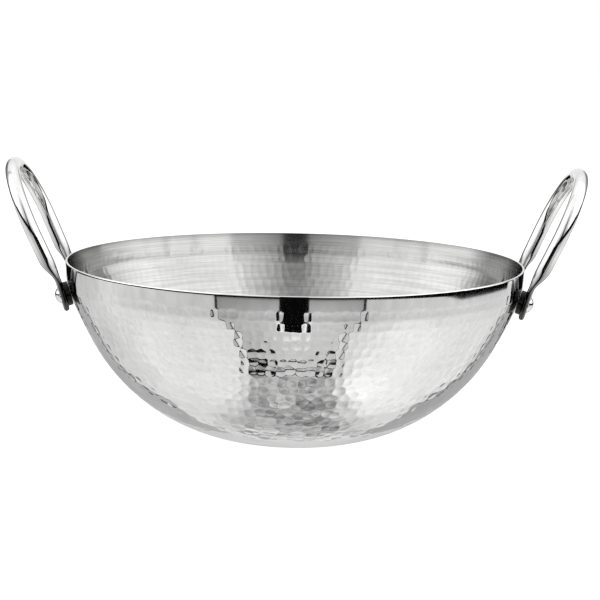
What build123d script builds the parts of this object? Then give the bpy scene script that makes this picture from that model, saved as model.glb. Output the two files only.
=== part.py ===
from build123d import *
import math
import os

os.makedirs("parts", exist_ok=True)

# A round-bottomed cooking bowl of hammered sheet steel with two riveted loop handles.
# Millimetres, +Z up. The origin is the middle of the flat base, on the surface that
# the bowl stands on. X runs through the two handles. Slopes are in degrees from the
# vertical.

# Bowl: outer sizes of the wall, from the rim down. The rim's diameter is measured to the
# corner that the rounding of the lip cuts away.
RIM_DIAMETER = 305.0
BOWL_HEIGHT = 116.2
SHEET = 1.6
BAND_HEIGHT = 11.0
BAND_SLOPE = 3.6
SHOULDER_RADIUS = 34.0
SHOULDER_SLOPE = 23.0
UPPER_WALL_RADIUS = 350.0
UPPER_WALL_SLOPE = 28.4
BASE_DIAMETER = 90.0
BASE_KNUCKLE_RADIUS = 30.0
LIP_ROUND_HEIGHT = 2.6
LIP_ROUND_DEPTH = 0.95
LIP_INNER_ROUND = 0.4

# Rivets: one through each pad, with a spacer between the pad and the bowl
RIVET_DROP = 18.6
RIVET_SPACING = 75.0
SHANK_DIAMETER = 6.0
HEAD_DIAMETER = 10.4
HEAD_EDGE_HEIGHT = 0.5
OUTER_HEAD_HEIGHT = 3.1
INNER_HEAD_HEIGHT = 2.2
SPACER_DIAMETER = 16.0
SPACER_THICKNESS = 3.1

# Handles: one bent rod each, with both ends hammered flat into pads
ROD_DIAMETER = 9.5
LOOP_RADIUS = 42.2
LOOP_RISE = 89.0
HANDLE_SLOPE = 24.3
PAD_WIDTH = 14.0
PAD_THICKNESS = 3.5
PAD_BELOW_RIVET = 11.0
PAD_ABOVE_RIVET = 8.0
FORGED_LENGTH = 18.0

# Fits
SHANK_CLEARANCE = 0.05
SEAT_GAP = 0.08
CUT_OVERRUN = 2.0

# How far along the forged length each section of the flattened end lies
SECTION_SHARES = (0.0, 0.3, 0.55, 0.8, 1.0)


def between(first, second, share):
    """A value or a vector this share of the way from the first to the second."""
    return first * (1 - share) + second * share


def down_wall(angle):
    """Unit vector down a wall that leans this much, as (radius, height)."""
    return Vector(-math.sin(angle), -math.cos(angle))


def into_wall(angle):
    """Unit vector square to a wall that leans this much, towards the axis, as (radius, height)."""
    return Vector(-math.cos(angle), math.sin(angle))


def section_point(point):
    """A (radius, height) pair as a point of the half section in the XZ plane."""
    return (point.X, 0, point.Y)


# Wall of the bowl: a straight band, then tangent arcs as (centre, radius, first angle,
# last angle), with the angles in radians from the vertical. The main arc is worked out,
# so that it runs tangent from the upper wall into the base knuckle, which ends flat on
# the base.
band_angle = math.radians(BAND_SLOPE)
shoulder_angle = math.radians(SHOULDER_SLOPE)
upper_angle = math.radians(UPPER_WALL_SLOPE)
base_angle = math.radians(90)
rim_corner = Vector(RIM_DIAMETER / 2, BOWL_HEIGHT)
band_end = rim_corner + down_wall(band_angle) * (BAND_HEIGHT / math.cos(band_angle))
shoulder_centre = band_end + into_wall(band_angle) * SHOULDER_RADIUS
shoulder_end = shoulder_centre - into_wall(shoulder_angle) * SHOULDER_RADIUS
upper_centre = shoulder_end + into_wall(shoulder_angle) * UPPER_WALL_RADIUS
upper_end = upper_centre - into_wall(upper_angle) * UPPER_WALL_RADIUS
knuckle_centre = Vector(BASE_DIAMETER / 2, BASE_KNUCKLE_RADIUS)
upper_inward = into_wall(upper_angle)
knuckle_offset = upper_end + upper_inward * BASE_KNUCKLE_RADIUS - knuckle_centre
radius_excess = -knuckle_offset.dot(knuckle_offset) / (2 * knuckle_offset.dot(upper_inward))
main_radius = BASE_KNUCKLE_RADIUS + radius_excess
main_centre = upper_end + upper_inward * main_radius
main_outward = (knuckle_centre - main_centre).normalized()
main_angle = math.atan2(-main_outward.Y, main_outward.X)
wall_arcs = (
    (shoulder_centre, SHOULDER_RADIUS, band_angle, shoulder_angle),
    (upper_centre, UPPER_WALL_RADIUS, shoulder_angle, upper_angle),
    (main_centre, main_radius, upper_angle, main_angle),
    (knuckle_centre, BASE_KNUCKLE_RADIUS, main_angle, base_angle),
)


def wall_edges(inset):
    """The arcs of the wall below the band, moved inward by the inset."""
    edges = []
    for centre, radius, first, last in wall_arcs:
        angles = (first, (first + last) / 2, last)
        points = [centre - into_wall(angle) * (radius - inset) for angle in angles]
        edges.append(ThreePointArc(*[section_point(point) for point in points]))
    return edges


def wall_at(drop):
    """Radius, angle and smallest inner curve of the wall, this far below the rim."""
    if drop <= BAND_HEIGHT:
        radius_there = rim_corner.X - drop * math.tan(band_angle)
        return radius_there, band_angle, radius_there - SHEET
    height = BOWL_HEIGHT - drop
    for centre, radius, first, last in wall_arcs:
        angle = math.asin(min((centre.Y - height) / radius, 1))
        if angle <= last:
            break
    radius_there = centre.X + radius * math.cos(angle)
    return radius_there, angle, min(radius, radius_there) - SHEET


# Where the rivets stand. Each rivet has a plane on the outer face of the wall, with
# its Z axis out of the wall, its Y axis up the wall and its X axis along the rim.
rivet_radius, rivet_tilt, inner_curve = wall_at(RIVET_DROP)
pad_floor = SEAT_GAP + SPACER_THICKNESS
pad_top = pad_floor + PAD_THICKNESS
pad_middle = pad_floor + PAD_THICKNESS / 2
pad_radius = rivet_radius + pad_middle * math.cos(rivet_tilt)
rivet_turn = math.asin(RIVET_SPACING / 2 / pad_radius)


def rivet_plane():
    """Plane of the front rivet of the right handle."""
    outward = Vector(math.cos(rivet_turn), -math.sin(rivet_turn), 0)
    along_rim = Vector(math.sin(rivet_turn), math.cos(rivet_turn), 0)
    foot = outward * rivet_radius + Vector(0, 0, BOWL_HEIGHT - RIVET_DROP)
    normal = outward * math.cos(rivet_tilt) - Vector(0, 0, math.sin(rivet_tilt))
    return Plane(origin=foot, x_dir=along_rim, z_dir=normal)


seat = rivet_plane()


def four_corners(shape):
    """The shape at the front right, then at the other three rivets, with their names."""
    back = mirror(shape, about=Plane.XZ)
    return {
        "right_front": shape,
        "right_back": back,
        "left_front": mirror(shape, about=Plane.YZ),
        "left_back": mirror(back, about=Plane.YZ),
    }


def make_bowl():
    """The sheet bowl: revolved section with a rounded lip, and four rivet holes."""
    down = down_wall(band_angle)
    into = into_wall(band_angle)
    lip_start = rim_corner + down * LIP_ROUND_HEIGHT
    lip_top = Vector(rim_corner.X - LIP_ROUND_DEPTH, BOWL_HEIGHT)
    inner_corner = rim_corner - Vector(SHEET / math.cos(band_angle), 0)
    inner_top = inner_corner + Vector(LIP_INNER_ROUND, 0)
    inner_start = inner_corner + down * LIP_INNER_ROUND
    inner_band_end = band_end + into * SHEET
    base_edge = BASE_DIAMETER / 2
    edges = [
        Line(section_point(band_end), section_point(lip_start)),
        Bezier(section_point(lip_start), section_point(rim_corner), section_point(lip_top)),
        Line(section_point(lip_top), section_point(inner_top)),
        Bezier(section_point(inner_top), section_point(inner_corner), section_point(inner_start)),
        Line(section_point(inner_start), section_point(inner_band_end)),
        *wall_edges(SHEET),
        Line((base_edge, 0, SHEET), (0, 0, SHEET)),
        Line((0, 0, SHEET), (0, 0, 0)),
        Line((0, 0, 0), (base_edge, 0, 0)),
        *wall_edges(0),
    ]
    bowl = revolve(make_face(edges), axis=Axis.Z)
    hole_radius = SHANK_DIAMETER / 2 + SHANK_CLEARANCE
    depth = SHEET + 2 * CUT_OVERRUN
    hole = seat * (Pos(0, 0, CUT_OVERRUN - depth / 2) * Cylinder(hole_radius, depth))
    for cutter in four_corners(hole).values():
        bowl = bowl - cutter
    return bowl


def dome_edges(base, height, direction):
    """Half outline of a domed head whose flat side lies at base, as (radius, Z)."""
    radius = HEAD_DIAMETER / 2
    rise = height - HEAD_EDGE_HEIGHT
    dome_radius = (radius * radius + rise * rise) / (2 * rise)
    half_turn = math.asin(radius / dome_radius) / 2
    middle = Vector(
        dome_radius * math.sin(half_turn),
        0,
        base + direction * (height - dome_radius + dome_radius * math.cos(half_turn)),
    )
    edge_top = Vector(radius, 0, base + direction * HEAD_EDGE_HEIGHT)
    crown = Vector(0, 0, base + direction * height)
    return [
        Line((SHANK_DIAMETER / 2, 0, base), (radius, 0, base)),
        Line((radius, 0, base), edge_top),
        ThreePointArc(edge_top, middle, crown),
    ]


def make_rivet():
    """A rivet with a domed head on the pad and a lower one inside the bowl."""
    head_radius = HEAD_DIAMETER / 2
    sag = inner_curve - math.sqrt(inner_curve * inner_curve - head_radius * head_radius)
    inner_base = -SHEET - sag - SEAT_GAP
    shank = SHANK_DIAMETER / 2
    edges = [
        *dome_edges(pad_top, OUTER_HEAD_HEIGHT, 1),
        Line((0, 0, pad_top + OUTER_HEAD_HEIGHT), (0, 0, inner_base - INNER_HEAD_HEIGHT)),
        *dome_edges(inner_base, INNER_HEAD_HEIGHT, -1),
        Line((shank, 0, inner_base), (shank, 0, pad_top)),
    ]
    return seat * revolve(make_face(edges), axis=Axis.Z)


def make_spacer():
    """The round spacer between a pad and the wall."""
    outside = Cylinder(SPACER_DIAMETER / 2, SPACER_THICKNESS)
    bore = Cylinder(SHANK_DIAMETER / 2 + SHANK_CLEARANCE, SPACER_THICKNESS + 2 * CUT_OVERRUN)
    return seat * (Pos(0, 0, SEAT_GAP + SPACER_THICKNESS / 2) * (outside - bore))


# Loop of the handle, in its own leaning plane: heights run up the loop from the rivets
# and widths along Y. The straight legs are tangent to the round top. The forged end takes
# up the start of each leg, and reaches into the round top where the leg is short.
lean = math.radians(HANDLE_SLOPE)
up_loop = Vector(math.sin(lean), 0, math.cos(lean))
out_of_loop = Vector(math.cos(lean), 0, -math.sin(lean))
pad_centre = seat.from_local_coords(Vector(0, 0, pad_middle))
loop_foot = Vector(pad_centre.X, 0, pad_centre.Z)
arc_height = LOOP_RISE - LOOP_RADIUS
foot_width = RIVET_SPACING / 2
foot_to_centre = math.hypot(arc_height, foot_width)
leg_length = math.sqrt(foot_to_centre**2 - LOOP_RADIUS**2)
leg_angle = math.atan2(arc_height, -foot_width) - math.asin(LOOP_RADIUS / foot_to_centre)
forged_end = PAD_ABOVE_RIVET + FORGED_LENGTH


def loop_point(width, height):
    """A point of the loop's middle line."""
    return loop_foot + Vector(0, -width, 0) + up_loop * height


def along_loop(distance):
    """The point this far from the rivet on the front half of the loop, and the way on."""
    straight = min(distance, leg_length)
    turn = leg_angle + (distance - straight) / LOOP_RADIUS
    width = foot_width + straight * math.cos(leg_angle)
    height = straight * math.sin(leg_angle)
    if distance > leg_length:
        width = LOOP_RADIUS * math.sin(turn)
        height = arc_height - LOOP_RADIUS * math.cos(turn)
    return loop_point(width, height), Vector(0, -math.cos(turn), 0) + up_loop * math.sin(turn)


def flattened_section(share):
    """Section of the forged end: a flat pad with round edges at 0, the round rod at 1."""
    leg_top, rod_up = along_loop(forged_end)
    pad_start = seat.from_local_coords(Vector(0, PAD_ABOVE_RIVET, pad_middle))
    chord = (leg_top - pad_start).length
    ease = (1 - math.cos(math.pi * share)) / 2
    left_over = 1 - share
    off_pad = seat.y_dir * (chord * share * left_over**2)
    off_rod = rod_up * (chord * share**2 * left_over)
    centre = between(pad_start, leg_top, ease) + off_pad - off_rod
    along = between(seat.y_dir, rod_up, ease).normalized()
    face = between(seat.z_dir, out_of_loop, ease).normalized()
    across = face.cross(along).normalized()
    plane = Plane(origin=centre, x_dir=across, z_dir=along)
    rod_corner = ROD_DIAMETER / 2 * math.cos(math.radians(45))
    flat_half = (PAD_WIDTH - PAD_THICKNESS) / 2
    half_width = between(PAD_WIDTH, ROD_DIAMETER, ease) / 2
    half_depth = between(PAD_THICKNESS, ROD_DIAMETER, ease) / 2
    corner_x = between(flat_half, rod_corner, ease)
    corner_y = between(PAD_THICKNESS / 2, rod_corner, ease)
    if share == 0:
        top = Line((-corner_x, corner_y), (corner_x, corner_y))
        bottom = Line((corner_x, -corner_y), (-corner_x, -corner_y))
    else:
        top = ThreePointArc((-corner_x, corner_y), (0, half_depth), (corner_x, corner_y))
        bottom = ThreePointArc((corner_x, -corner_y), (0, -half_depth), (-corner_x, -corner_y))
    right = ThreePointArc((corner_x, corner_y), (half_width, 0), (corner_x, -corner_y))
    left = ThreePointArc((-corner_x, -corner_y), (-half_width, 0), (-corner_x, corner_y))
    return plane * make_face([top, right, bottom, left])


def make_leg_end():
    """The front leg's forged end and flat pad, without its hole."""
    forged = loft([flattened_section(share) for share in SECTION_SHARES])
    end_radius = PAD_WIDTH / 2
    pad_length = PAD_ABOVE_RIVET + PAD_BELOW_RIVET - end_radius
    pad_bar = extrude(flattened_section(0), amount=-pad_length)
    edge = PAD_THICKNESS / 2
    flat_half = end_radius - edge
    half_section = make_face(
        [
            Line((0, 0, -edge), (flat_half, 0, -edge)),
            ThreePointArc((flat_half, 0, -edge), (end_radius, 0, 0), (flat_half, 0, edge)),
            Line((flat_half, 0, edge), (0, 0, edge)),
            Line((0, 0, edge), (0, 0, -edge)),
        ]
    )
    end_place = Pos(0, end_radius - PAD_BELOW_RIVET, pad_middle)
    round_end = seat * (end_place * revolve(half_section, axis=Axis.Z))
    return forged + pad_bar + round_end


def make_handle():
    """The right handle: a swept round loop whose two ends are forged flat."""
    front_foot, foot_way = along_loop(forged_end)
    front_top = along_loop(max(forged_end, leg_length))[0]
    crown = loop_point(0, LOOP_RISE)
    back_foot = Vector(front_foot.X, -front_foot.Y, front_foot.Z)
    back_top = Vector(front_top.X, -front_top.Y, front_top.Z)
    edges = [ThreePointArc(front_top, crown, back_top)]
    if forged_end < leg_length:
        edges = [Line(front_foot, front_top), *edges, Line(back_top, back_foot)]
    start = Plane(origin=front_foot, z_dir=foot_way)
    rod = sweep(start * Circle(ROD_DIAMETER / 2), path=Wire(edges))
    leg_end_part = make_leg_end()
    handle = rod + leg_end_part + mirror(leg_end_part, about=Plane.XZ)
    hole_radius = SHANK_DIAMETER / 2 + SHANK_CLEARANCE
    depth = PAD_THICKNESS + 2 * CUT_OVERRUN
    hole = seat * (Pos(0, 0, pad_middle) * Cylinder(hole_radius, depth))
    return handle - hole - mirror(hole, about=Plane.XZ)


pieces = {"bowl": make_bowl()}
right_handle = make_handle()
pieces["handle_right"] = right_handle
pieces["handle_left"] = mirror(right_handle, about=Plane.YZ)
for corner, rivet in four_corners(make_rivet()).items():
    pieces["rivet_" + corner] = rivet
for corner, spacer in four_corners(make_spacer()).items():
    pieces["spacer_" + corner] = spacer

for node, shape in pieces.items():
    solids = shape.solids()
    box = shape.bounding_box()
    print(node, "solids", len(solids), "volume", round(sum(solid.volume for solid in solids), 1))
    print("   from", box.min, "to", box.max)
    export_step(shape, f"parts/{node}.step")
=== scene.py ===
"""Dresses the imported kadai: a hammered, polished bowl with riveted loop handles."""
import logging
import math
from dataclasses import dataclass, field
from enum import Enum
from typing import Any

import bpy
import numpy as np
from mathutils import Matrix, Vector


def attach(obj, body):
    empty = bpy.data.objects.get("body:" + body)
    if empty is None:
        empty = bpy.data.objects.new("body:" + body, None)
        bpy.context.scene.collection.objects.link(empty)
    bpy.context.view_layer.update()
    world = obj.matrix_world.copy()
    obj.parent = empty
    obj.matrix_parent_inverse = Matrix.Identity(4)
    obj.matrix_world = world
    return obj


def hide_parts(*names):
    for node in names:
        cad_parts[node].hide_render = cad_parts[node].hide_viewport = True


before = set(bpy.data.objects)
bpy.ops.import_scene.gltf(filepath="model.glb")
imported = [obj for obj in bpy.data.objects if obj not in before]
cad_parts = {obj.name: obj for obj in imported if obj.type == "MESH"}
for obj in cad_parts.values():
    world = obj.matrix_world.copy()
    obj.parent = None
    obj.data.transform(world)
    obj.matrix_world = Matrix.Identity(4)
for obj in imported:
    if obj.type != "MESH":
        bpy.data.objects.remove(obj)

logging.basicConfig(level=logging.INFO, format="%(message)s")
log = logging.getLogger("kadai")

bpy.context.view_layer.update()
BODY: str = "root"
FULL_TURN: float = 2 * math.pi
# Vertex value: how deep each point was struck, and below nothing the painted shade along the inner
# lip.
MARK_DEPTH_AND_EDGE_SHADE: str = "mark_depth_and_edge_shade"
GLOW: str = "glow"
FOLDS: str = "folds"
AXIS_CLEARANCE: float = 0.001
STREAK_SCALE: float = 1.3
WIPES_IN_CLOUD: float = 9.0
TONE_ENDS: tuple[float, float] = (0.35, 0.65)
WHITE: tuple[float, ...] = (1.0, 1.0, 1.0, 1.0)
WHOLE_FACE: np.ndarray = np.array([[0, 1, 2, 3]])

Pair = tuple[float, float]
Colour = tuple[float, float, float]
Material = bpy.types.Material


# Shared helpers


def put_in_scene(name: str, data: Any) -> bpy.types.Object:
    """Makes an object of a mesh, a lamp or a camera and links it.

    Args:
        name: Name of the object.
        data: The mesh, lamp or camera.

    Returns:
        The linked object.
    """
    obj = bpy.data.objects.new(name, data)
    bpy.context.scene.collection.objects.link(obj)
    return obj


def mesh_object(
    name: str,
    points: np.ndarray,
    faces: np.ndarray,
    materials: list[Material],
    slots: np.ndarray | None = None,
    values: dict[str, np.ndarray] | None = None,
) -> bpy.types.Object:
    """Makes a smooth-shaded mesh object from arrays.

    Args:
        name: Name of the object and its mesh.
        points: One row of x, y and z for each vertex, in metres.
        faces: One row of four vertex numbers for each face. A row that repeats its last
            number is a triangle.
        materials: The materials of the object's slots.
        slots: The slot number of each face, or nothing where all use the first.
        values: Named values of the vertices.

    Returns:
        The linked object.
    """
    mesh = bpy.data.meshes.new(name)
    lists = [tuple(dict.fromkeys(face)) for face in faces.tolist()]
    mesh.from_pydata(points.tolist(), [], lists)
    for material in materials:
        mesh.materials.append(material)
    if slots is not None:
        mesh.polygons.foreach_set("material_index", slots.astype(np.int32))
    for label, numbers in (values or {}).items():
        mesh.attributes.new(label, "FLOAT", "POINT").data.foreach_set("value", numbers)
    mesh.shade_smooth()
    mesh.update()
    return put_in_scene(name, mesh)


# Section of the bowl


@dataclass
class ProfileLine:
    """A run of the bowl's half section, as columns of radius, height and normal."""

    radius: np.ndarray
    height: np.ndarray
    normal_radius: np.ndarray
    normal_height: np.ndarray
    drop_along: np.ndarray

    def kept(self, keep: np.ndarray) -> "ProfileLine":
        """The points of this run that a mask keeps."""
        return ProfileLine(*[column[keep] for column in vars(self).values()])


@dataclass
class WallSection:
    """Sizes of the wall, in metres and in degrees from the vertical.

    They are the solid's, apart from a tighter rounding of the lip, as the photograph shows
    it. The rim is a little smaller for that, to stay inside the solid's box.
    """

    rim_diameter: float = 0.30482
    bowl_height: float = 0.1162
    sheet: float = 0.0016
    band_height: float = 0.011
    band_slope: float = 3.6
    shoulder_radius: float = 0.034
    shoulder_slope: float = 23.0
    upper_radius: float = 0.350
    upper_slope: float = 28.4
    base_diameter: float = 0.090
    knuckle_radius: float = 0.030
    lip_round_height: float = 0.0016
    lip_round_depth: float = 0.0004
    lip_inner_round: float = 0.0002
    arcs: list[tuple[np.ndarray, float, float, float]] = field(init=False)
    rim_corner: np.ndarray = field(init=False)
    band_end: np.ndarray = field(init=False)

    def __post_init__(self) -> None:
        """Works out the tangent arcs from the band down to the flat base."""
        band, shoulder, upper = map(
            math.radians, (self.band_slope, self.shoulder_slope, self.upper_slope)
        )
        self.rim_corner = np.array([self.rim_diameter / 2, self.bowl_height])
        self.band_end = self.rim_corner + self.down(band) * (self.band_height / math.cos(band))
        shoulder_centre = self.band_end + self.inward(band) * self.shoulder_radius
        shoulder_end = shoulder_centre - self.inward(shoulder) * self.shoulder_radius
        upper_centre = shoulder_end + self.inward(shoulder) * self.upper_radius
        upper_end = upper_centre - self.inward(upper) * self.upper_radius
        knuckle_centre = np.array([self.base_diameter / 2, self.knuckle_radius])
        into = self.inward(upper)
        offset = upper_end + into * self.knuckle_radius - knuckle_centre
        main_radius = self.knuckle_radius - offset @ offset / (2 * offset @ into)
        main_centre = upper_end + into * main_radius
        away = knuckle_centre - main_centre
        main_end = math.atan2(-away[1], away[0])
        self.arcs = [
            (shoulder_centre, self.shoulder_radius, band, shoulder),
            (upper_centre, self.upper_radius, shoulder, upper),
            (main_centre, main_radius, upper, main_end),
            (knuckle_centre, self.knuckle_radius, main_end, math.pi / 2),
        ]

    @staticmethod
    def down(angle: float) -> np.ndarray:
        """Unit vector down a wall that leans by this angle, as radius and height."""
        return np.array([-math.sin(angle), -math.cos(angle)])

    @staticmethod
    def inward(angle: float) -> np.ndarray:
        """Unit vector square to a wall that leans by this angle, towards the axis."""
        return np.array([-math.cos(angle), math.sin(angle)])

    def wall(self, inset: float, step: float) -> ProfileLine:
        """The wall from the top of the band to the edge of the flat base.

        Args:
            inset: How far inside the outer face the line lies.
            step: Rough distance between two points.

        Returns:
            The line, with normals that point out of the sheet on the outer face.
        """
        band = math.radians(self.band_slope)
        rows: list[tuple[float, float, float, float, float]] = []
        count = math.ceil(self.band_height / step)
        length = float(np.linalg.norm(self.band_end - self.rim_corner))
        out = -self.inward(band)
        for share in np.arange(count) / count:
            place = self.rim_corner + (self.band_end - self.rim_corner) * share - out * inset
            rows.append((*place, *out, length * share))
        for centre, radius, first, last in self.arcs:
            count = math.ceil(radius * (last - first) / step)
            for share in np.arange(count) / count:
                angle = first + (last - first) * share
                out = -self.inward(angle)
                place = centre + out * (radius - inset)
                rows.append((*place, *out, length + radius * (angle - first)))
            length += radius * (last - first)
        rows.append((self.base_diameter / 2, inset, 0.0, -1.0, length))
        return ProfileLine(*np.array(rows).T)


# Hammer marks


@dataclass
class HammerMarks:
    """Round, shallow marks in rows, struck from outside, none of them quite even.

    Each row has its distance below the rim, along the wall. Shares of size and jitter are
    of the spacings. The lower rows are less even than the upper ones.
    """

    rows: tuple[float, ...] = (
        0.01245, 0.01960, 0.02604, 0.03166, 0.03863, 0.04537, 0.05149, 0.06016, 0.06599,
        0.07359, 0.08063, 0.08893, 0.09823, 0.10760, 0.11600, 0.12440,
    )
    neat_spacings: tuple[float, ...] = (0.0057, 0.0051)
    neat_size_share: float = 1.4
    mark_spacing: float = 0.0058
    size_share: float = 1.08
    hammer_radius: float = 0.075
    low_hammer_radius: float = 0.115
    flatter_run: Pair = (0.062, 0.095)
    last_radius: float = 0.047
    neat_jitter_share: float = 0.03
    place_jitter_share: float = 0.09
    size_jitter_share: float = 0.07
    uneven_from: int = 8
    uneven_growth: float = 1.9
    seed: int = 7

    def centres(self, wall: ProfileLine) -> np.ndarray:
        """Places the marks.

        Args:
            wall: The outer line of the wall, from the rim down.

        Returns:
            One row for each mark: distance below the rim, angle and half its width.
        """
        random = np.random.default_rng(self.seed)
        rows: list[np.ndarray] = []
        for number, (below, spacing) in enumerate(zip(self.rows, np.gradient(self.rows))):
            ring = float(np.interp(below, wall.drop_along, wall.radius))
            if ring < self.last_radius:
                break
            neat = number < len(self.neat_spacings)
            pitch = self.neat_spacings[number] if neat else self.mark_spacing
            growth = self.uneven_growth if number >= self.uneven_from else 1.0
            jitter = self.neat_jitter_share if neat else self.place_jitter_share * growth
            count = round(FULL_TURN * ring / pitch)
            turn = FULL_TURN / count
            phase = turn / 2 if neat else random.uniform(0, turn)
            angles = -math.pi / 2 + phase + turn * np.arange(count)
            angles += random.normal(0, jitter, count) * turn
            downs = below + random.normal(0, jitter, count) * spacing
            share = self.neat_size_share if neat else self.size_share
            half = share * math.sqrt(spacing * pitch) / 2
            halves = half * (1 + random.normal(0, self.size_jitter_share * growth, count))
            rows.append(np.column_stack([downs, angles, halves]))
        return np.concatenate(rows)

    def relief(self, wall: ProfileLine, segments: int, marks: np.ndarray) -> np.ndarray:
        """Depth of the marks over a grid of rings and segments.

        A mark is where a ball as round as the hammer's face cuts into the wall, so it is
        narrower the way the wall curves more. The hammer's face is flatter for the lower rows.

        Args:
            wall: The line whose rings the grid has.
            segments: How many points each ring has.
            marks: The marks, as centres gives them.

        Returns:
            The depth at each ring and segment, in metres.
        """
        depth = np.zeros((len(wall.radius), segments))
        step = FULL_TURN / segments
        slope = np.arcsin(-wall.normal_height)
        bends = np.gradient(slope, wall.drop_along)
        radii = (self.hammer_radius, self.low_hammer_radius)
        for below, angle, half in marks:
            ring = float(np.interp(below, wall.drop_along, wall.radius))
            tilt = float(np.interp(below, wall.drop_along, slope))
            hammer = 1 / float(np.interp(below, self.flatter_run, radii))
            round_axis = hammer + math.cos(tilt) / ring
            down_wall = hammer + float(np.interp(below, wall.drop_along, bends))
            deep = half**2 * round_axis / 2
            half_height = math.sqrt(2 * deep / down_wall)
            near = np.flatnonzero(np.abs(wall.drop_along - below) < half_height)
            if not len(near):
                continue
            reach = math.ceil(half / (ring * step)) + 1
            middle = round(angle / step)
            columns = np.arange(middle - reach, middle + reach + 1)
            across = (columns * step - angle) * ring
            along = wall.drop_along[near] - below
            gap = round_axis * across[None, :] ** 2 / 2 + down_wall * along[:, None] ** 2 / 2
            cells = np.ix_(near, columns % segments)
            depth[cells] = np.maximum(depth[cells], deep - gap)
        return depth


# Shader nodes and shared node groups


class GroupName(Enum):
    """Names of the effects that more than one finish uses."""

    TURNED_LINES = "turned_lines"
    POLISH_HAZE = "polish_haze"
    MARK_TONE = "mark_tone"


def new_group(name: GroupName, inputs: dict[str, float], outputs: list[str]) -> Any:
    """Makes an empty shader node group with float sockets.

    Args:
        name: Which effect the group holds.
        inputs: Name and default value of each input.
        outputs: Names of the outputs.

    Returns:
        The group, its input node and its output node.
    """
    group = bpy.data.node_groups.new(name.value, "ShaderNodeTree")
    for label, value in inputs.items():
        socket = group.interface.new_socket(label, in_out="INPUT", socket_type="NodeSocketFloat")
        socket.default_value = value
    for label in outputs:
        group.interface.new_socket(label, in_out="OUTPUT", socket_type="NodeSocketFloat")
    return group, group.nodes.new("NodeGroupInput"), group.nodes.new("NodeGroupOutput")


def feed(tree: Any, value: Any, socket: Any) -> None:
    """Sets an input, or links it where the value is a socket.

    Args:
        tree: The node tree.
        value: A plain value, or the socket to link from.
        socket: The input.
    """
    if isinstance(value, bpy.types.NodeSocket):
        tree.links.new(value, socket)
    else:
        socket.default_value = value


def fill(tree: Any, node: Any, **inputs: Any) -> Any:
    """Sets or links a node's inputs.

    Args:
        tree: The node tree.
        node: The node.
        inputs: A value or a socket for each input, with underscores for the spaces in names.

    Returns:
        The node.
    """
    for label, value in inputs.items():
        feed(tree, value, node.inputs[label.replace("_", " ")])
    return node


def add_node(tree: Any, kind: str, **inputs: Any) -> Any:
    """Adds a node of this kind, fills its inputs and gives the node."""
    return fill(tree, tree.nodes.new(kind), **inputs)


def math_node(tree: Any, operation: str, *values: Any) -> Any:
    """Adds a Math node.

    Args:
        tree: The node tree.
        operation: Name of the operation.
        values: A number or a socket for each input.

    Returns:
        The node's output socket.
    """
    node = tree.nodes.new("ShaderNodeMath")
    node.operation = operation
    for value, socket in zip(values, node.inputs):
        feed(tree, value, socket)
    return node.outputs[0]


def noise(tree: Any, place: Any, scale: Any, **settings: float) -> Any:
    """Adds a noise.

    Args:
        tree: The node tree.
        place: Socket of the place.
        scale: A number or a socket for its scale.
        settings: Its other inputs.

    Returns:
        The socket of its strength.
    """
    texture = add_node(tree, "ShaderNodeTexNoise", Vector=place, Scale=scale, **settings)
    return texture.outputs["Fac"]


def vertex_value(tree: Any, name: str) -> Any:
    """Adds a named value of the vertices and gives its socket."""
    value = tree.nodes.new("ShaderNodeAttribute")
    value.attribute_name = name
    return value.outputs["Fac"]


def own_place(tree: Any) -> Any:
    """Adds each point's place in its object and gives its socket."""
    return tree.nodes.new("ShaderNodeTexCoord").outputs["Object"]


def place_parts(tree: Any) -> Any:
    """Adds the X, Y and Z of each point's place and gives their sockets."""
    return add_node(tree, "ShaderNodeSeparateXYZ", Vector=own_place(tree)).outputs


def axis_distance(tree: Any, parts: Any) -> Any:
    """Adds the distance from the bowl's axis.

    Args:
        tree: The node tree.
        parts: The sockets of X, Y and Z.

    Returns:
        The socket of the distance.
    """
    squares = [math_node(tree, "POWER", parts[side], 2.0) for side in "XY"]
    return math_node(tree, "SQRT", math_node(tree, "ADD", *squares))


def soft_step(tree: Any, measure: Any, run: Pair) -> Any:
    """Adds a soft step from 0 to 1.

    Args:
        tree: The node tree.
        measure: Socket of what the step follows.
        run: Where the step starts and ends.

    Returns:
        The socket of the step.
    """
    step = add_node(tree, "ShaderNodeMapRange", Value=measure, From_Min=run[0], From_Max=run[1])
    step.interpolation_type = "SMOOTHSTEP"
    return step.outputs[0]


def turned_lines_group() -> None:
    """Makes fine lines round the bowl's axis, as a polishing wheel or a lathe leaves them.

    The group has the inputs Line Width, Line Length and Turn Radius, in metres, and the
    outputs Height and Streak, both from 0 to 1.
    """
    group, inside, outside = new_group(
        GroupName.TURNED_LINES,
        {"Line Width": 0.0004, "Line Length": 0.03, "Turn Radius": 0.12},
        ["Height", "Streak"],
    )
    parts = place_parts(group)
    radius = axis_distance(group, parts)
    safe = math_node(group, "MAXIMUM", radius, AXIS_CLEARANCE)
    turned, long = inside.outputs["Turn Radius"], inside.outputs["Line Length"]
    length = math_node(group, "DIVIDE", turned, long)
    shares = [math_node(group, "DIVIDE", parts[side], safe) for side in "XY"]
    round_x, round_y = (math_node(group, "MULTIPLY", share, length) for share in shares)
    across = math_node(group, "SUBTRACT", parts["Z"], radius)
    down = math_node(group, "DIVIDE", across, inside.outputs["Line Width"])
    place = add_node(group, "ShaderNodeCombineXYZ", X=round_x, Y=round_y, Z=down).outputs[0]
    fine = noise(group, place, 1.0, Detail=3.0, Roughness=0.65)
    wide = noise(group, place, STREAK_SCALE, Detail=2.0)
    fill(group, outside, Height=fine, Streak=wide)


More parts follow.
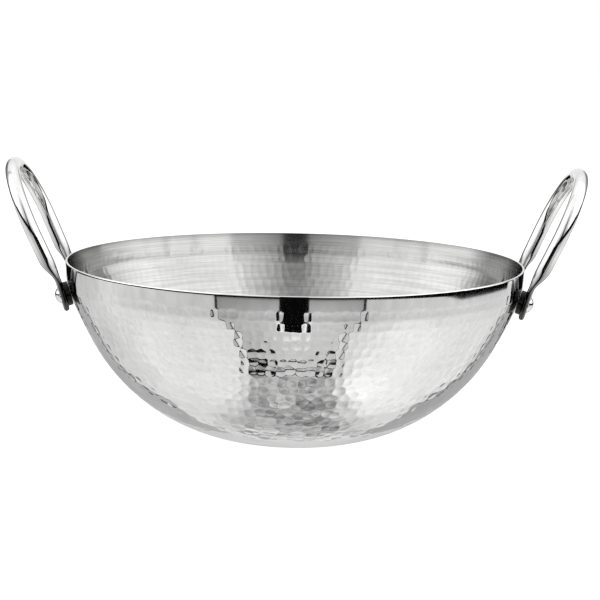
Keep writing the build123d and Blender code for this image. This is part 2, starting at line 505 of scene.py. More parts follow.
def polish_haze_group() -> None:
    """Makes soft uneven polish: a cloudy haze with a few finer wipe marks.

    The group has the inputs Roughness, Haze and Cloud Size, which is in metres, and the
    outputs Roughness and Tone.
    """
    group, inside, outside = new_group(
        GroupName.POLISH_HAZE,
        {"Roughness": 0.06, "Haze": 0.05, "Cloud Size": 0.03},
        ["Roughness", "Tone"],
    )
    place = own_place(group)
    scale = math_node(group, "DIVIDE", 1.0, inside.outputs["Cloud Size"])
    cloud = noise(group, place, scale, Detail=4.0)
    finer = math_node(group, "MULTIPLY", scale, WIPES_IN_CLOUD)
    wipe = noise(group, place, finer, Detail=2.0, Distortion=0.6)
    mixed = math_node(group, "MULTIPLY", cloud, wipe)
    spread = math_node(group, "MULTIPLY", mixed, inside.outputs["Haze"])
    hazed = math_node(group, "ADD", inside.outputs["Roughness"], spread)
    fill(group, outside, Roughness=hazed, Tone=cloud)


def mark_tone_and_edge_shade_group() -> None:
    """Makes uneven polish of the hammered sheet, by how deep each point was struck, and painted
    shade where the value is below nothing.

    The group has the inputs Low and High and the output Tone, which goes from Low where
    nothing was struck to High at the middle of the deepest mark.
    """
    group, inside, outside = new_group(GroupName.MARK_TONE, {"Low": 0.8, "High": 1.0}, ["Tone"])
    low, high = inside.outputs["Low"], inside.outputs["High"]
    span = math_node(group, "SUBTRACT", high, low)
    share = math_node(group, "MULTIPLY", vertex_value(group, MARK_DEPTH_AND_EDGE_SHADE), span)
    fill(group, outside, Tone=math_node(group, "ADD", share, low))


def place_group(tree: Any, name: GroupName, **values: float) -> Any:
    """Adds a shared group to a material.

    Args:
        tree: The material's node tree.
        name: Which group.
        values: Its input values, named as fill takes them.

    Returns:
        The outputs of the group.
    """
    node = tree.nodes.new("ShaderNodeGroup")
    node.node_tree = bpy.data.node_groups[name.value]
    return fill(tree, node, **values).outputs


# Finishes


def start_material(name: str) -> tuple[Material, Any, Any]:
    """Makes a node material.

    Args:
        name: Name of the material.

    Returns:
        The material, its tree and its Principled BSDF node.
    """
    material = bpy.data.materials.new(name)
    material.use_nodes = True
    tree = material.node_tree
    return material, tree, tree.nodes["Principled BSDF"]


def tone_ramp(tree: Any, factor: Any, dark: Colour, light: Colour) -> Any:
    """Mixes two colours by a factor that varies over the surface.

    Args:
        tree: The node tree.
        factor: Socket of the factor.
        dark: Colour at the lower one of the tone ends and below it.
        light: Colour at the upper one and above it.

    Returns:
        The colour socket.
    """
    ramp = tree.nodes.new("ShaderNodeValToRGB")
    for stop, place, colour in zip(ramp.color_ramp.elements, TONE_ENDS, (dark, light)):
        stop.position = place
        stop.color = (*colour, 1.0)
    feed(tree, factor, ramp.inputs[0])
    return ramp.outputs[0]


def toned(tree: Any, colour: Any, tones: Pair) -> Any:
    """Darkens or lightens a colour by the depth of the marks, and paints shade where that value is
    below nothing.

    Args:
        tree: The node tree.
        colour: Socket of the colour.
        tones: Share of the colour beside the marks and in their middle.

    Returns:
        The colour socket.
    """
    tone = place_group(tree, GroupName.MARK_TONE, Low=tones[0], High=tones[1])["Tone"]
    scaled = tree.nodes.new("ShaderNodeVectorMath")
    scaled.operation = "SCALE"
    return fill(tree, scaled, Vector=colour, Scale=tone).outputs[0]


def shade_below(tree: Any, measure: Any, run: Pair, shade: Colour) -> None:
    """Paints shade into a finish where a measure is small.

    Args:
        tree: Node tree of the material.
        measure: The socket that gives the measure, in metres.
        run: Where the shade starts to fade, and where it has gone.
        shade: The colour of the painted shade.
    """
    base_colour = tree.nodes["Principled BSDF"].inputs["Base Color"]
    polished = base_colour.links[0].from_socket
    mixed = tree.nodes.new("ShaderNodeMix")
    mixed.data_type = "RGBA"
    colours = [socket for socket in mixed.inputs if socket.type == "RGBA"]
    feed(tree, soft_step(tree, measure, run), mixed.inputs["Factor"])
    feed(tree, (*shade, 1.0), colours[0])
    feed(tree, polished, colours[1])
    feed(tree, next(out for out in mixed.outputs if out.type == "RGBA"), base_colour)


@dataclass(frozen=True)
class PolishedSteel:
    """Mirror-polished steel with a slight haze."""

    name: str
    dark: Colour = (0.76, 0.76, 0.755)
    light: Colour = (0.82, 0.82, 0.815)
    roughness: float = 0.035
    haze: float = 0.05
    cloud_size: float = 0.03
    mark_tones: Pair | None = None

    def build(self) -> Material:
        """Builds the material.

        Returns:
            The material.
        """
        material, tree, shader = start_material(self.name)
        haze = place_group(
            tree,
            GroupName.POLISH_HAZE,
            Roughness=self.roughness,
            Haze=self.haze,
            Cloud_Size=self.cloud_size,
        )
        colour = tone_ramp(tree, haze["Tone"], self.dark, self.light)
        if self.mark_tones:
            colour = toned(tree, colour, self.mark_tones)
        fill(tree, shader, Base_Color=colour, Metallic=1.0, Roughness=haze["Roughness"])
        self.shade(tree)
        return material

    def shade(self, tree: Any) -> None:
        """Leaves the colour as it is."""


@dataclass(frozen=True)
class ForgedSteel(PolishedSteel):
    """Polished rod with painted shade on the forged feet: their colour is darker."""

    # Painted shade: the near-black colour of the feet.
    foot_painted_shade: Colour = (0.09, 0.09, 0.088)
    foot_run: Pair = (0.098, 0.132)

    def shade(self, tree: Any) -> None:
        """Paints shade on the feet, up to where the run of heights ends."""
        shade_below(tree, place_parts(tree)["Z"], self.foot_run, self.foot_painted_shade)


@dataclass(frozen=True)
class RivetSteel(PolishedSteel):
    """Polished outer heads, and heads inside the bowl, which are brushed with it, with painted
    shade: a darker colour.
    """

    # Painted shade: the darker colour of the heads inside.
    inner_painted_shade: Colour = (0.24, 0.24, 0.238)
    inner_run: Pair = (0.150, 0.154)

    def shade(self, tree: Any) -> None:
        """Paints shade on the heads inside, by their distance from the axis."""
        shade_below(tree, axis_distance(tree, place_parts(tree)), self.inner_run, self.inner_painted_shade)


@dataclass(frozen=True)
class BrushedSteel:
    """Satin steel brushed in lines round the axis, and darker where it is seen edge-on."""

    name: str
    dark: Colour = (0.50, 0.50, 0.495)
    light: Colour = (0.62, 0.62, 0.615)
    low_roughness: float = 0.13
    high_roughness: float = 0.20
    anisotropy: float = 0.75
    brush_turn: float = 0.25
    grazing_tint: float = 0.55
    line_width: float = 0.0009
    line_length: float = 0.05
    turn_radius: float = 0.12
    line_depth: float = 0.000004
    mark_tones: Pair = (0.88, 1.03)

    def build(self) -> Material:
        """Builds the material.

        Returns:
            The material.
        """
        material, tree, shader = start_material(self.name)
        tangent = tree.nodes.new("ShaderNodeTangent")
        tangent.direction_type = "RADIAL"
        tangent.axis = "Z"
        lines = place_group(
            tree,
            GroupName.TURNED_LINES,
            Line_Width=self.line_width,
            Line_Length=self.line_length,
            Turn_Radius=self.turn_radius,
        )
        height = lines["Height"]
        spread = add_node(tree, "ShaderNodeMapRange", Value=height)
        fill(tree, spread, To_Min=self.low_roughness, To_Max=self.high_roughness)
        bump = add_node(tree, "ShaderNodeBump", Distance=self.line_depth, Height=height)
        colour = tone_ramp(tree, lines["Streak"], self.dark, self.light)
        fill(
            tree,
            shader,
            Base_Color=toned(tree, colour, self.mark_tones),
            Metallic=1.0,
            Roughness=spread.outputs[0],
            Normal=bump.outputs[0],
            Specular_Tint=(*[self.grazing_tint] * 3, 1.0),
            Anisotropic=self.anisotropy,
            Anisotropic_Rotation=self.brush_turn,
            Tangent=tangent.outputs[0],
        )
        return material


# Bowl


class BowlSlot(Enum):
    """Material slots of the bowl."""

    OUTSIDE = 0
    LIP = 1
    INSIDE = 2
    BASE = 3


@dataclass
class Layer:
    """Some of the bowl's rings from the base round the lip to the floor, and their slot.

    The tone is how deep each point counts as struck, as a share of the deepest mark; below nothing
    it is painted shade.
    """

    rings: np.ndarray
    slot: BowlSlot
    tone: np.ndarray | float = 0.0


@dataclass
class Bowl:
    """The bowl: one sheet, hammered outside and brushed inside.

    Inside, the smooth part near the rim has the plain tone. The edge tone is less than
    nothing, which is painted shade: the colour is painted darker along the lip.
    """

    section: WallSection
    marks: HammerMarks
    segments: int = 1600
    outer_step: float = 0.00075
    inner_step: float = 0.0016
    inside_share: float = 0.65
    band_crown: float = 0.7
    inner_flare: float = 5.0
    flare_runs: tuple[float, float, float] = (0.007, 0.019, 0.080)
    lip_gap: float = 0.25
    plain_tone: float = 0.62
    tone_run: float = 0.008
    # Painted shade: a tone below nothing that darkens the colour along the inner lip.
    edge_painted_shade: float = -2.1
    edge_run: float = 0.0036
    lip_steps: int = 8
    floor_rings: int = 6

    def lip(self) -> tuple[np.ndarray, np.ndarray]:
        """The rounded lip from the inner band to the outer band.

        Returns:
            Points of the inner rounding and points of the outer one, as radius and height.
        """
        section = self.section
        band = math.radians(section.band_slope)
        corner = section.rim_corner
        start = corner + section.down(band) * section.lip_round_height
        top = corner - np.array([section.lip_round_depth, 0])
        inner_corner = corner - np.array([section.sheet / math.cos(band), 0])
        inner_top = inner_corner + np.array([section.lip_inner_round, 0])
        inner_start = inner_corner + section.down(band) * section.lip_inner_round
        return (
            self.curve(inner_start, inner_corner, inner_top),
            self.curve(top, corner, start),
        )

    def curve(self, first: np.ndarray, pull: np.ndarray, last: np.ndarray) -> np.ndarray:
        """Points of a quadratic curve.

        Args:
            first: Where it starts.
            pull: Its control point.
            last: Where it ends.

        Returns:
            One row for each point.
        """
        share = np.linspace(0, 1, self.lip_steps + 1)[:, None]
        return first * (1 - share) ** 2 + pull * 2 * share * (1 - share) + last * share**2

    def face_line(self, inset: float, step: float, lip_start: float) -> ProfileLine:
        """One face of the wall below the lip's rounding.

        Args:
            inset: How far inside the outer face the line lies.
            step: Rough distance between two points.
            lip_start: How far below the rim the rounding ends.

        Returns:
            The line from there to the edge of the base.
        """
        wall = self.section.wall(inset, step)
        return wall.kept(wall.drop_along > lip_start + self.lip_gap * step)

    def crown(self, line: ProfileLine) -> np.ndarray:
        """How far the outer band lies inside its chord, less than nothing where it bulges.

        Args:
            line: The outer line.

        Returns:
            The distance at each ring, as a column.
        """
        share = np.clip(line.drop_along / self.section.band_height, 0, 1)
        lean = math.tan(math.radians(self.band_crown))
        return (-lean * self.section.band_height * share * (1 - share))[:, None]

    def flare(self, line: ProfileLine) -> np.ndarray:
        """How much thicker the sheet is inside, where its inner face opens more at the rim.

        Args:
            line: The inner line.

        Returns:
            The extra thickness at each ring, as a column.
        """
        full, turn, end = self.flare_runs
        down = line.drop_along
        ease = np.clip((down - full) / (turn - full), 0, 1)
        opening = 0.5 + 0.5 * np.cos(math.pi * ease)
        closing = np.sin(math.pi * np.clip((down - turn) / (end - turn), 0, 1)) ** 2
        steps = np.diff(down, prepend=0)
        gained, lost = np.cumsum(opening * steps), np.cumsum(closing * steps)
        lean = math.tan(math.radians(self.inner_flare))
        return (lean * (gained - lost * gained[-1] / lost[-1]))[:, None]

    def rings(self, line: ProfileLine, relief: np.ndarray) -> np.ndarray:
        """Turns a line round the axis, pressed inward by the relief.

        Args:
            line: The line.
            relief: Depth at each ring and segment.

        Returns:
            Points as rings, segments and x, y, z.
        """
        angles = FULL_TURN * np.arange(self.segments) / self.segments
        radius = line.radius[:, None] - relief * line.normal_radius[:, None]
        height = line.height[:, None] - relief * line.normal_height[:, None]
        return np.stack([radius * np.cos(angles), radius * np.sin(angles), height], axis=-1)

    def plain_rings(self, points: np.ndarray) -> np.ndarray:
        """Turns plain points round the axis.

        Args:
            points: Radius and height of each ring, one row each.

        Returns:
            Points as rings, segments and x, y, z.
        """
        line = ProfileLine(points[:, 0], points[:, 1], *np.zeros((3, len(points))))
        return self.rings(line, np.zeros((len(points), self.segments)))

    def inner_tone(self, inner: ProfileLine, struck: np.ndarray) -> np.ndarray:
        """Tone of the inner face of the wall, with painted shade along the lip.

        Args:
            inner: The inner line.
            struck: Depth of the marks there, as a share of the deepest one.

        Returns:
            The tone at each ring and segment.
        """
        above = self.marks.rows[1] - inner.drop_along
        smooth = np.clip(above / self.tone_run, 0, 1)[:, None]
        tone = struck + np.maximum(self.plain_tone - struck, 0) * smooth
        edge_share = np.clip(1 - inner.drop_along / self.edge_run, 0, 1)[:, None]
        return tone + (self.edge_painted_shade - tone) * edge_share

    def layers(self, centres: np.ndarray) -> list[Layer]:
        """Builds all rings, from near the middle of the base to near that of the floor.

        Args:
            centres: The marks, as HammerMarks gives them.

        Returns:
            The layers in order.
        """
        section = self.section
        outer = self.face_line(0.0, self.outer_step, section.lip_round_height)
        inner = self.face_line(section.sheet, self.inner_step, section.lip_inner_round)
        outer_relief = self.marks.relief(outer, self.segments, centres)
        inner_relief = self.marks.relief(inner, self.segments, centres)
        deepest = outer_relief.max()
        dented = outer_relief + self.crown(outer)
        pressed = inner_relief * self.inside_share + self.flare(inner)
        edge = section.base_diameter / 2
        spokes = edge * (1 - np.arange(1, self.floor_rings) / self.floor_rings)
        base = np.column_stack([spokes[::-1], np.zeros(len(spokes))])
        floor = np.column_stack([spokes, np.full(len(spokes), section.sheet)])
        inner_lip, outer_lip = self.lip()
        inside_tone = self.inner_tone(inner, inner_relief / deepest)
        return [
            Layer(self.plain_rings(base), BowlSlot.BASE),
            Layer(self.rings(outer, dented)[::-1], BowlSlot.OUTSIDE, outer_relief[::-1] / deepest),
            Layer(self.plain_rings(outer_lip[::-1]), BowlSlot.LIP),
            # The inner rounding of the lip gets the painted shade of the edge.
            Layer(self.plain_rings(inner_lip[::-1]), BowlSlot.INSIDE, self.edge_painted_shade),
            Layer(self.rings(inner, pressed), BowlSlot.INSIDE, inside_tone),
            Layer(self.plain_rings(floor), BowlSlot.INSIDE),
        ]

    def faces(self, slots: np.ndarray) -> tuple[np.ndarray, np.ndarray]:
        """Joins the rings, and closes the base and the floor with triangles.

        Args:
            slots: The slot number of each ring.

        Returns:
            The faces, as mesh_object takes them, and the slot number of each one.
        """
        numbers = np.arange(len(slots) * self.segments).reshape(len(slots), self.segments)
        ahead = np.roll(numbers, -1, axis=1)
        quads = np.stack([numbers[:-1], ahead[:-1], ahead[1:], numbers[1:]], axis=-1)
        bottom, top = numbers.size, numbers.size + 1
        under = np.column_stack([ahead[0], numbers[0], np.full(self.segments, bottom)])
        over = np.column_stack([numbers[-1], ahead[-1], np.full(self.segments, top)])
        caps = np.concatenate([under, over])
        faces = np.concatenate([quads.reshape(-1, 4), np.column_stack([caps, caps[:, 2]])])
        return faces, np.repeat(np.append(slots[:-1], slots[[0, -1]]), self.segments)

    def build(self, materials: list[Material]) -> None:
        """Builds the bowl and puts it in place of its plain solid.

        Args:
            materials: The materials in the order of BowlSlot.
        """
        centres = self.marks.centres(self.section.wall(0.0, self.outer_step))
        layers = self.layers(centres)
        rings = np.concatenate([layer.rings for layer in layers])
        tones = [np.broadcast_to(layer.tone, layer.rings.shape[:2]) for layer in layers]
        slots = np.concatenate([np.full(len(layer.rings), layer.slot.value) for layer in layers])
        faces, face_slots = self.faces(slots)
        points = np.concatenate([rings.reshape(-1, 3), [[0, 0, 0], [0, 0, self.section.sheet]]])
        depth = {MARK_DEPTH_AND_EDGE_SHADE: np.append(np.concatenate(tones), [0, 0])}
        bowl = mesh_object("hammered_bowl", points, faces, materials, face_slots, depth)
        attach(bowl, BODY)
        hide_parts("bowl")
        log.info("hammered_bowl: %d marks, %d faces", len(centres), len(faces))


# Handles, rivets and spacers


@dataclass
class Fittings:
    """The handles, rivets and spacers, whose solids are kept and get their finishes."""

    sides: tuple[str, ...] = ("right", "left")
    ends: tuple[str, ...] = ("front", "back")

    def dress(self, node: str, material: Material) -> None:
        """Gives a kept solid its finish.

        Args:
            node: Name of the solid.
            material: Its finish.
        """
        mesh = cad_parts[node].data
        mesh.materials.clear()
        mesh.materials.append(material)
        log.info("%s: %s", node, material.name)

    def build(self, handle: Material, rivet: Material, spacer: Material) -> None:
        """Dresses all fittings.

        Args:
            handle: Finish of the two handles.
            rivet: Finish of the four rivets.
            spacer: Finish of the four spacers, near black as painted shade.
        """
        for side in self.sides:
            self.dress(f"handle_{side}", handle)
            for end in self.ends:
                self.dress(f"rivet_{side}_{end}", rivet)
                self.dress(f"spacer_{side}_{end}", spacer)


# Studio


@dataclass(frozen=True)
class TentPanel:
    """A panel of the light tent, in degrees round and above the bowl.

    Azimuth 0 faces the camera's side and grows to the right. The glows are those of the
    panel's lower and upper corners at its first azimuth, and the end glows those at its
    second one, where they differ. The bend is the power by which the glow changes upward.
    The tilt is how much higher the upper edge is at the second azimuth. The folds are the
    share of the glow that they change. The cell is the rough size of a face.
    """

    name: str
    azimuths: Pair
    elevations: Pair
    glows: Pair
    end_glows: Pair | None = None
    bend: float = 1.0
    top_tilt: float = 0.0
    folds: float = 0.4
    cell: float = 3.0

    def build(self, distance: float, cloth: Material) -> None:
        """Builds the panel as a piece of a ball round the bowl.

        Args:
            distance: Radius of the ball.
            cloth: The tent's material.
        """
        turns, tilts = self.spread(self.azimuths), self.spread(self.elevations)
        across, up = np.meshgrid(np.linspace(0, 1, len(turns)), np.linspace(0, 1, len(tilts)))
        turn, tilt = np.meshgrid(np.radians(turns), np.radians(tilts))
        tilt = tilt + math.radians(self.top_tilt) * across * up
        points = np.stack(
            [np.sin(turn) * np.cos(tilt), -np.cos(turn) * np.cos(tilt), np.sin(tilt)], axis=-1
        )
        numbers = np.arange(turn.size).reshape(turn.shape)
        faces = np.stack(
            [numbers[:-1, :-1], numbers[:-1, 1:], numbers[1:, 1:], numbers[1:, :-1]], axis=-1
        )
        rise = up**self.bend
        ends = (self.glows, self.end_glows or self.glows)
        first, last = (low + (high - low) * rise for low, high in ends)
        glow = first * (1 - across) + last * across
        place = points.reshape(-1, 3) * distance
        name = f"tent_{self.name}"
        cloth_sheet(name, place, faces.reshape(-1, 4), glow.ravel(), self.folds, cloth)

    def spread(self, ends: Pair) -> np.ndarray:
        """Even steps from one end to the other, no longer than a cell."""
        return np.linspace(*ends, max(2, math.ceil(abs(ends[1] - ends[0]) / self.cell) + 1))


def cloth_sheet(
    name: str,
    points: np.ndarray,
    faces: np.ndarray,
    glow: np.ndarray,
    folds: float,
    cloth: Material,
) -> None:
    """Makes a sheet of the tent's glowing cloth, which shows in polished surfaces alone.

    Args:
        name: Name of the sheet.
        points: Its vertices.
        faces: Its faces.
        glow: Strength at each vertex.
        folds: Share of the strength that its folds change.
        cloth: The tent's material.
    """
    values = {GLOW: glow, FOLDS: np.full(len(points), folds)}
    obj = mesh_object(name, points, faces, [cloth], values=values)
    obj.visible_camera = False
    obj.visible_diffuse = False
    obj.visible_transmission = False
    obj.visible_volume_scatter = False
    obj.visible_shadow = False


def glowing_cloth(name: str, fold_size: float) -> Material:
    """The tent's cloth, which glows as its vertices say, unevenly in its folds.

    Args:
        name: Name of the material.
        fold_size: Rough size of a fold, in metres.

    Returns:
        The material.
    """
    material, tree, _ = start_material(name)
    tree.nodes.clear()
    folds = noise(tree, own_place(tree), 1 / fold_size, Detail=2.0)
    swing = math_node(tree, "SUBTRACT", folds, 0.5)
    change = math_node(tree, "MULTIPLY", swing, vertex_value(tree, FOLDS))
    share = math_node(tree, "ADD", change, 1.0)
    strength = math_node(tree, "MULTIPLY", vertex_value(tree, GLOW), share)
    glow = add_node(tree, "ShaderNodeEmission", Strength=strength)
    add_node(tree, "ShaderNodeOutputMaterial", Surface=glow.outputs[0])
    material.cycles.emission_sampling = "NONE"
    return material


@dataclass
class LightTent:
    """The pale panels round the bowl that its polished faces show.

    Narrow gaps between the panels show as dark seams. The wide one in front is the slit
    that the camera looks through. The covers hang a little nearer and hide what they cover.
    """

    distance: float = 12.0
    cover_distance: float = 11.8
    dark_distance: float = 13.0
    fold_size: float = 0.9
    panels: tuple[TentPanel, ...] = (
        TentPanel("front_left", (-7.2, -37.7), (-65.4, -12.5), (0.75, 0.26), (0.54, 0.22), 9.0),
        TentPanel("front_right", (7.2, 33.8), (-65.4, -12.5), (0.75, 0.26), (0.69, 0.25), 9.0),
        TentPanel("front_sill", (-7.2, 7.2), (-65.4, -51.2), (0.74, 1.15), bend=3.0),
        TentPanel("left", (-39.0, -100.0), (-90.0, -11.9), (1.0, 0.6), (1.06, 0.82), 1.4, 2.2),
        TentPanel(
            "far_left", (-100.0, -144.5), (-90.0, -9.7), (1.06, 0.82), (0.95, 0.58), 1.5, 1.6
        ),
        TentPanel("right", (35.2, 60.0), (-90.0, -12.6), (0.84, 0.64), (1.24, 0.72), 1.3),
        TentPanel("mid_right", (60.0, 90.0), (-90.0, -12.7), (1.3, 0.72), (1.25, 0.78), 1.4, -0.5),
        TentPanel("far_right", (90.0, 130.5), (-90.0, -13.2), (1.25, 0.78), (1.1, 0.76), 1.5, 2.7),
        TentPanel("post_right", (130.5, 136.3), (-90.0, -4.0), (1.2, 0.8)),
        TentPanel("last_right", (136.3, 142.5), (-90.0, -14.8), (1.15, 0.7)),
        TentPanel("seam_back_right", (142.5, 144.8), (-44.2, -17.0), (0.2, 0.2)),
        TentPanel("seam_back_left", (213.2, 215.5), (-44.2, -17.0), (0.16, 0.16)),
        TentPanel("back_right", (144.8, 168.0), (-44.2, -16.6), (0.44, 0.48)),
        TentPanel("back_middle", (168.0, 192.0), (-44.2, -16.0), (0.78, 0.58)),
        TentPanel("back_left", (192.0, 213.2), (-44.2, -15.2), (0.52, 0.46)),
        TentPanel("back_glance", (163.0, 197.0), (-16.2, -1.5), (0.6, 0.85)),
        TentPanel("back_low", (142.5, 215.5), (-90.0, -44.2), (1.0, 0.86)),
        TentPanel("front_low", (-39.0, 35.2), (-90.0, -66.6), (0.9, 0.9)),
        TentPanel("upper_front_left", (-7.0, -36.0), (2.0, 60.0), (0.09, 0.62), (0.5, 1.24), 0.5),
        TentPanel("upper_front_right", (7.0, 36.0), (2.0, 60.0), (0.09, 0.62), (0.62, 1.4), 0.5),
        TentPanel("upper_front_sill", (-7.0, 7.0), (12.0, 30.0), (0.02, 0.12)),
        TentPanel("upper_front_top", (-7.0, 7.0), (30.0, 60.0), (0.12, 1.25), bend=1.3),
        TentPanel(
            "upper_left", (-36.0, -85.0), (2.0, 60.0), (0.8, 1.55), (1.42, 1.5), 0.35, folds=0.7
        ),
        TentPanel(
            "upper_right", (36.0, 90.0), (2.0, 60.0), (1.3, 1.5), (1.42, 1.5), 0.5, folds=0.7
        ),
        TentPanel("end_left", (-85.0, -106.0), (-1.0, 60.0), (1.34, 1.68), (1.34, 1.7), 0.3),
        TentPanel("far_end_left", (-106.0, -125.0), (-1.0, 60.0), (1.34, 1.7), (0.3, 0.42), 0.3),
        TentPanel("end_right", (90.0, 124.0), (-1.0, 60.0), (1.42, 1.84), (0.94, 1.26), 0.4),
        TentPanel("dim_left", (-125.0, -150.0), (-1.0, 24.0), (0.36, 0.4), (0.09, 0.1)),
        TentPanel("dim_right", (124.0, 150.0), (-1.0, 24.0), (0.44, 0.5), (0.18, 0.2)),
        TentPanel("upper_back_right", (150.0, 163.0), (-1.5, 24.0), (0.18, 0.22), (0.6, 0.6)),
        TentPanel("upper_back_left", (210.0, 197.0), (-1.5, 24.0), (0.1, 0.2), (0.6, 0.6)),
        TentPanel("upper_back_middle", (163.0, 197.0), (-1.5, 24.0), (0.92, 0.92)),
        TentPanel("upper_back_high", (124.0, 235.0), (24.0, 60.0), (0.85, 1.1)),
        TentPanel("top", (-180.0, 180.0), (60.0, 90.0), (1.15, 1.15)),
    )
    covers: tuple[TentPanel, ...] = (
        TentPanel("step_left", (-7.0, -30.0), (11.0, 32.0), (0.58, 0.64), (0.82, 1.04)),
        TentPanel("step_right", (7.0, 30.0), (11.0, 32.0), (0.53, 0.58), (0.95, 1.24)),
        TentPanel("corner_left", (-39.5, -20.0), (-67.9, -61.0), (0.003, 0.003)),
        TentPanel("corner_right", (23.0, 33.6), (-67.4, -61.4), (0.003, 0.003)),
        TentPanel("slit_edge_left", (-7.2, -10.5), (-51.2, -19.0), (1.3, 0.6), (0.72, 0.5), 3.0),
        TentPanel("slit_edge_right", (7.2, 10.5), (-51.2, -19.0), (1.3, 0.6), (0.72, 0.5), 3.0),
    )
    dark_room: TentPanel = TentPanel("dark_room", (-180.0, 180.0), (-90.0, 90.0), (0.003, 0.003))
    strip_depth: float = 7.5
    strip_half_width: float = 3.1
    strip_soft_width: float = 1.9
    strip_ends: tuple[float, ...] = (-3.2, 4.5, 7.2)
    strip_glows: tuple[float, ...] = (0.44, 0.6)
    strip_folds: float = 3.0

    def build(self) -> None:
        """Builds the panels, the covers, the dark room and the strip on the tent's floor."""
        cloth = glowing_cloth("tent_cloth", self.fold_size)
        for panel in self.panels:
            panel.build(self.distance, cloth)
        for cover in self.covers:
            cover.build(self.cover_distance, cloth)
        self.dark_room.build(self.dark_distance, cloth)
        strip_cloth = glowing_cloth("tent_strip_cloth", self.fold_size)
        self.soften_sides(strip_cloth)
        half, low = self.strip_half_width, -self.strip_depth
        for number, glow in enumerate(self.strip_glows):
            front, back = self.strip_ends[number : number + 2]
            corners = np.array(
                [[-half, front, low], [half, front, low], [half, back, low], [-half, back, low]]
            )
            name = f"tent_strip_{number + 1}"
            glows = np.full(len(corners), glow)
            cloth_sheet(name, corners, WHOLE_FACE, glows, self.strip_folds, strip_cloth)
        log.info("light tent: %d panels", len(self.panels))

    def soften_sides(self, cloth: Material) -> None:
        """Lets the strip fade out towards its two long sides.

        Args:
            cloth: The strip's glowing material.
        """
        tree = cloth.node_tree
        glow = tree.nodes["Emission"].outputs[0]
        aside = math_node(tree, "ABSOLUTE", place_parts(tree)["X"])
        run = (self.strip_half_width - self.strip_soft_width, self.strip_half_width)
        clear = tree.nodes.new("ShaderNodeBsdfTransparent").outputs[0]
        mixed = tree.nodes.new("ShaderNodeMixShader")
        for value, socket in zip((soft_step(tree, aside, run), glow, clear), mixed.inputs):
            feed(tree, value, socket)
        feed(tree, mixed.outputs[0], tree.nodes["Material Output"].inputs["Surface"])


@dataclass
class StudioFloor:
    """The plain pale floor that the bowl stands on."""

    half_side: float = 6.0
    colour: tuple[float, float, float, float] = (0.92, 0.92, 0.92, 1.0)
    own_white: float = 0.72

    def build(self) -> None:
        """Builds the floor, which shows the bowl's shadow but not in the bowl."""
        side = self.half_side
        corners = np.array([[-side, -side, 0], [side, -side, 0], [side, side, 0], [-side, side, 0]])
        material, tree, shader = start_material("studio_floor")
        path = tree.nodes.new("ShaderNodeLightPath")
        white = math_node(tree, "MULTIPLY", path.outputs["Is Camera Ray"], self.own_white)
        fill(tree, shader, Base_Color=self.colour, Roughness=1.0, Specular_IOR_Level=0.0)
        fill(tree, shader, Emission_Color=WHITE, Emission_Strength=white)
        floor = mesh_object("studio_floor", corners, WHOLE_FACE, [material])
        floor.visible_glossy = False
        log.info("studio floor")


@dataclass
class StudioLight:
    """One soft lamp overhead, and a room that is white to look at but lights less."""

    lamp_height: float = 1.8
    lamp_side: float = 2.4
    lamp_power: float = 22.0
    room_light: float = 0.35

    def build(self) -> None:
        """Builds one overhead softbox and the world."""
        lamp = bpy.data.lights.new("softbox", "AREA")
        lamp.shape = "SQUARE"
        lamp.size = self.lamp_side
        lamp.energy = self.lamp_power
        holder = put_in_scene("softbox", lamp)
        holder.location = (0.0, 0.0, self.lamp_height)
        holder.visible_glossy = False
        world = bpy.data.worlds.new("studio_room")
        bpy.context.scene.world = world
        world.use_nodes = True
        tree = world.node_tree
        back = tree.nodes["Background"]
        path = tree.nodes.new("ShaderNodeLightPath")
        shiny = math_node(
            tree, "ADD", path.outputs["Is Glossy Ray"], path.outputs["Is Transmission Ray"]
        )
        seen = math_node(tree, "ADD", path.outputs["Is Camera Ray"], shiny)
        once = math_node(tree, "MINIMUM", seen, 1.0)
        white = math_node(tree, "MULTIPLY", once, 1.0 - self.room_light)
        strength = math_node(tree, "ADD", white, self.room_light)
        fill(tree, back, Color=WHITE, Strength=strength)
        log.info("studio light")


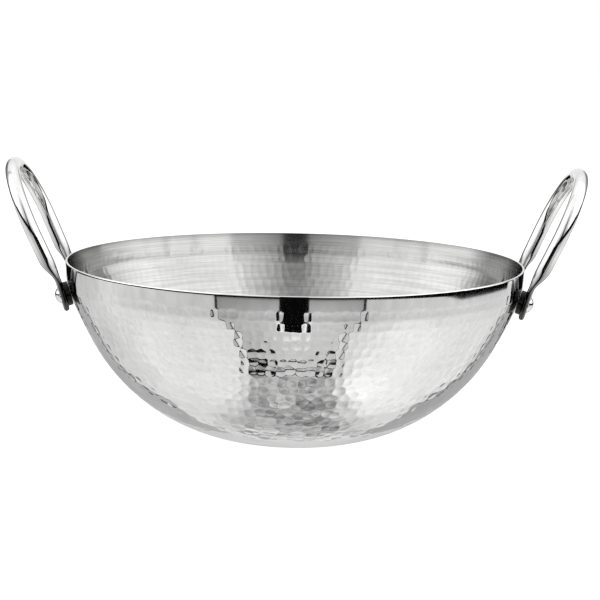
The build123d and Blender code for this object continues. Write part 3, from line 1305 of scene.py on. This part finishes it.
@dataclass
class PhotoCamera:
    """The camera at the photograph's viewing angle."""

    distance: float = 1.300
    elevation: float = 7.917
    roll: float = 1.187
    target_right: float = 0.00379
    target_drop: float = 0.02616
    focal_pixels: float = 1948.28
    frame_pixels: float = 600.0
    sensor: float = 36.0
    sight: float = 50.0

    def build(self, rim_height: float) -> None:
        """Builds the camera and makes it the scene's.

        Args:
            rim_height: Height of the rim plane, whose centre the distances are from.
        """
        lens = bpy.data.cameras.new("photo_camera")
        lens.sensor_width = self.sensor
        lens.lens = self.focal_pixels * self.sensor / self.frame_pixels
        lens.clip_end = self.sight
        camera = put_in_scene("photo_camera", lens)
        tilt = math.radians(self.elevation)
        rim = Vector((0.0, 0.0, rim_height))
        place = rim + Vector((0.0, -math.cos(tilt), math.sin(tilt))) * self.distance
        target = rim + Vector((self.target_right, 0.0, -self.target_drop))
        facing = (target - place).to_track_quat("-Z", "Y").to_matrix()
        turned = facing @ Matrix.Rotation(math.radians(self.roll), 3, "Z")
        camera.matrix_world = Matrix.Translation(place) @ turned.to_4x4()
        bpy.context.scene.camera = camera
        log.info("camera: lens %.1f mm", lens.lens)


def main() -> None:
    """Builds the pieces in order, then the studio."""
    bpy.context.scene.view_settings.view_transform = "Standard"
    for make_group in (turned_lines_group, polish_haze_group, mark_tone_and_edge_shade_group):
        make_group()
    section = WallSection()
    outside = PolishedSteel("polished_outside", mark_tones=(0.99, 0.96))
    lip = PolishedSteel(
        "polished_lip",
        dark=(0.88, 0.88, 0.875),
        light=(0.94, 0.94, 0.935),
        roughness=0.03,
        haze=0.04,
        cloud_size=0.01,
    )
    inside = BrushedSteel("brushed_inside")
    base = BrushedSteel("turned_base", line_width=0.0005, turn_radius=0.03)
    finishes = [finish.build() for finish in (outside, lip, inside, base)]
    Bowl(section, HammerMarks()).build(finishes)
    handle = ForgedSteel(
        "polished_handle",
        dark=(0.80, 0.80, 0.795),
        light=(0.88, 0.88, 0.875),
        roughness=0.03,
        haze=0.04,
        cloud_size=0.012,
    )
    rivet = RivetSteel("polished_rivet", roughness=0.08, haze=0.08, cloud_size=0.004)
    # The spacers' near-black colour is painted shade of the gap between the handle feet and the
    # bowl.
    spacer = PolishedSteel(
        "spacer_painted_shade",
        dark=(0.008, 0.008, 0.008),
        light=(0.03, 0.03, 0.029),
        roughness=0.16,
        haze=0.1,
        cloud_size=0.005,
    )
    Fittings().build(handle.build(), rivet.build(), spacer.build())
    LightTent().build()
    StudioFloor().build()
    StudioLight().build()
    PhotoCamera().build(section.bowl_height)


if __name__ == "__main__":
    main()
